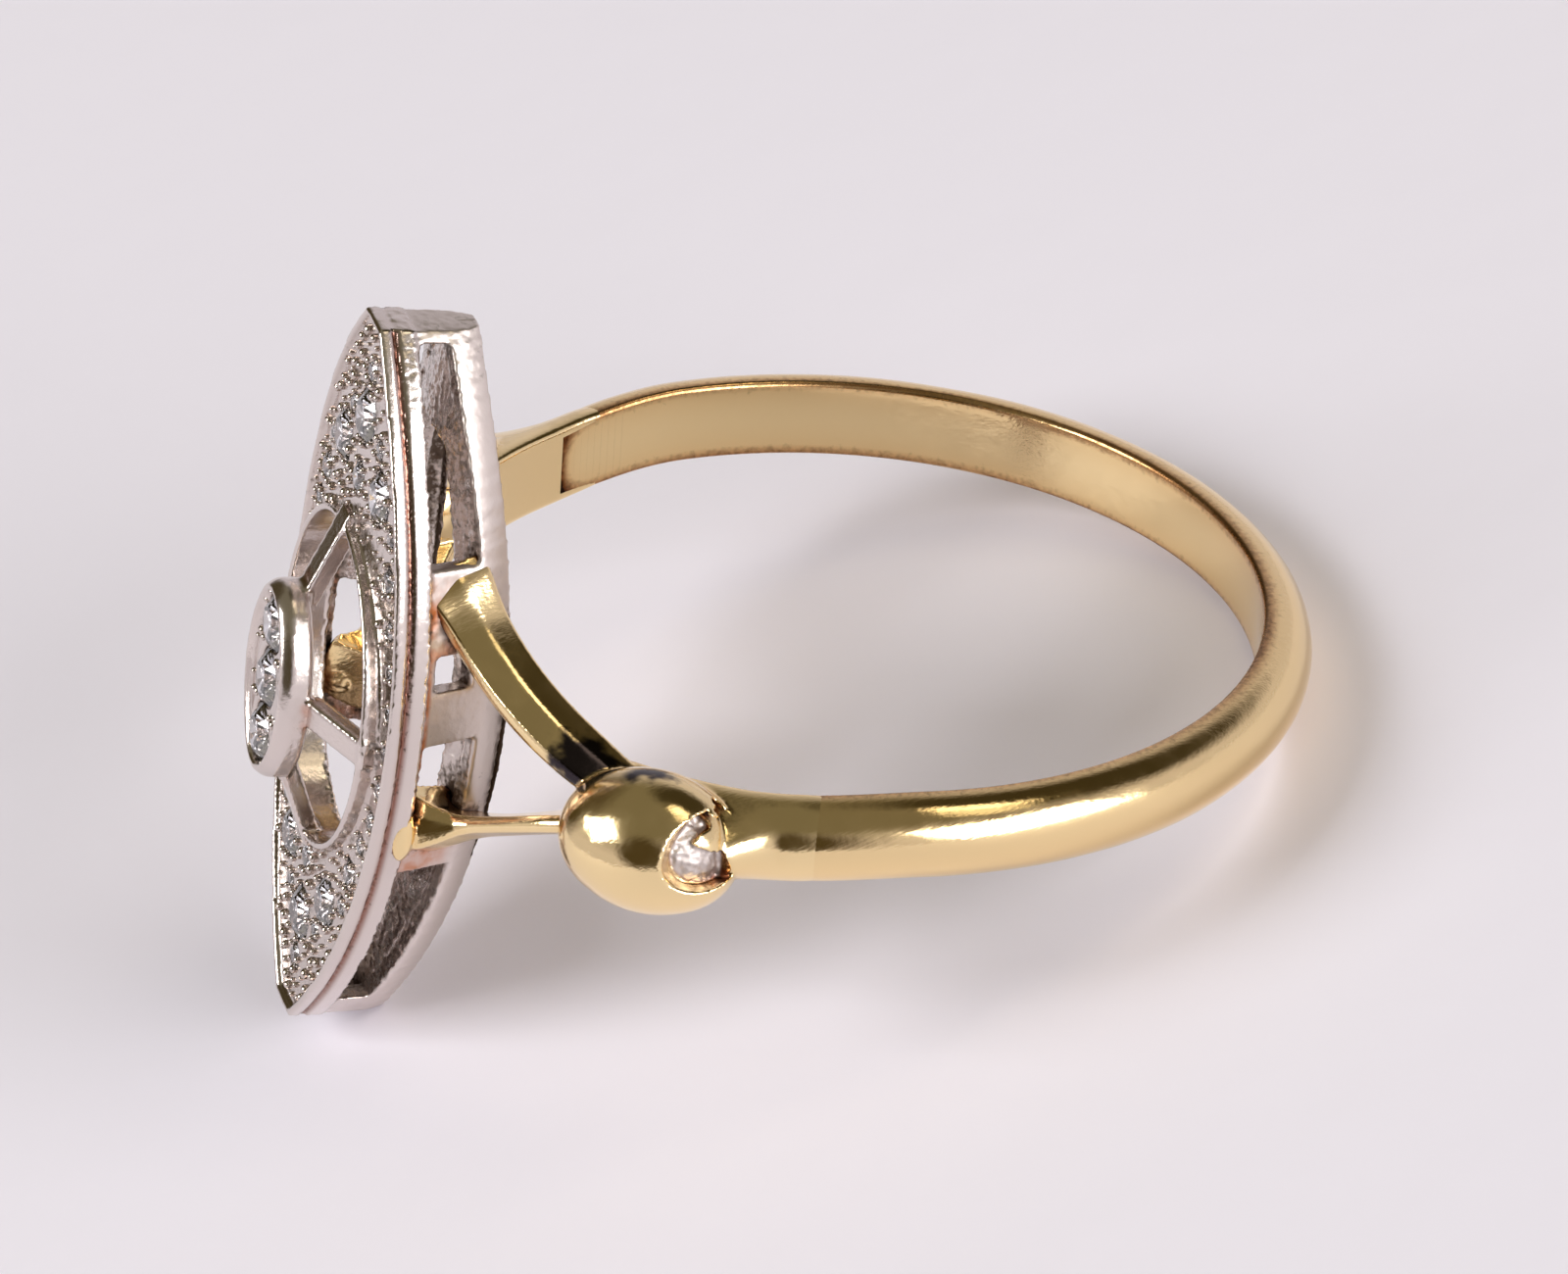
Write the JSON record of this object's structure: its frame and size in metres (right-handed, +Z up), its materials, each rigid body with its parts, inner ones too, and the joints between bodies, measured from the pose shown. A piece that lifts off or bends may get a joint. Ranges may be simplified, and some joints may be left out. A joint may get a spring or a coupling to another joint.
{
  "type": "three-stone diamond ring",
  "caption": "Dress ring with a forked yellow gold band, a long pierced white metal panel set with diamonds, and a raised oval cup that holds a row of diamonds.",
  "frame": {"origin": "centre of the ring's footprint, on the surface that it lies on", "axes": "+Z up from the surface; +Y from the panel towards the back of the band; +X across the ring. The finger's axis leans 21.8 degrees from +Z towards +Y"},
  "size_m": [0.0192, 0.0228, 0.015],
  "materials": {
    "yellow_gold": "polished yellow gold with fine wear",
    "white_metal": "worn polished white metal with dark grime in the recesses",
    "diamond": "clear old-cut diamond"
  },
  "bodies": {
    "root": {"gold_mount": "yellow_gold", "panel": "white_metal", "centre_stone_1": "diamond", "centre_stone_2": "diamond", "centre_stone_3": "diamond", "upper_stone_1": "diamond", "upper_stone_2": "diamond", "upper_stone_3": "diamond", "upper_stone_4": "diamond", "upper_stone_5": "diamond", "upper_stone_6": "diamond", "upper_stone_7": "diamond", "upper_stone_8": "diamond", "upper_stone_9": "diamond", "upper_stone_10": "diamond", "upper_stone_11": "diamond", "lower_stone_1": "diamond", "lower_stone_2": "diamond", "lower_stone_3": "diamond", "lower_stone_4": "diamond", "lower_stone_5": "diamond", "lower_stone_6": "diamond", "lower_stone_7": "diamond", "lower_stone_8": "diamond", "lower_stone_9": "diamond", "lower_stone_10": "diamond", "lower_stone_11": "diamond", "right_stone_1": "diamond", "right_stone_2": "diamond", "right_stone_3": "diamond", "right_stone_4": "diamond", "right_stone_5": "diamond", "right_stone_6": "diamond", "right_stone_7": "diamond", "left_stone_1": "diamond", "left_stone_2": "diamond", "left_stone_3": "diamond", "left_stone_4": "diamond", "left_stone_5": "diamond", "left_stone_6": "diamond", "left_stone_7": "diamond"}
  },
  "joints": []
}
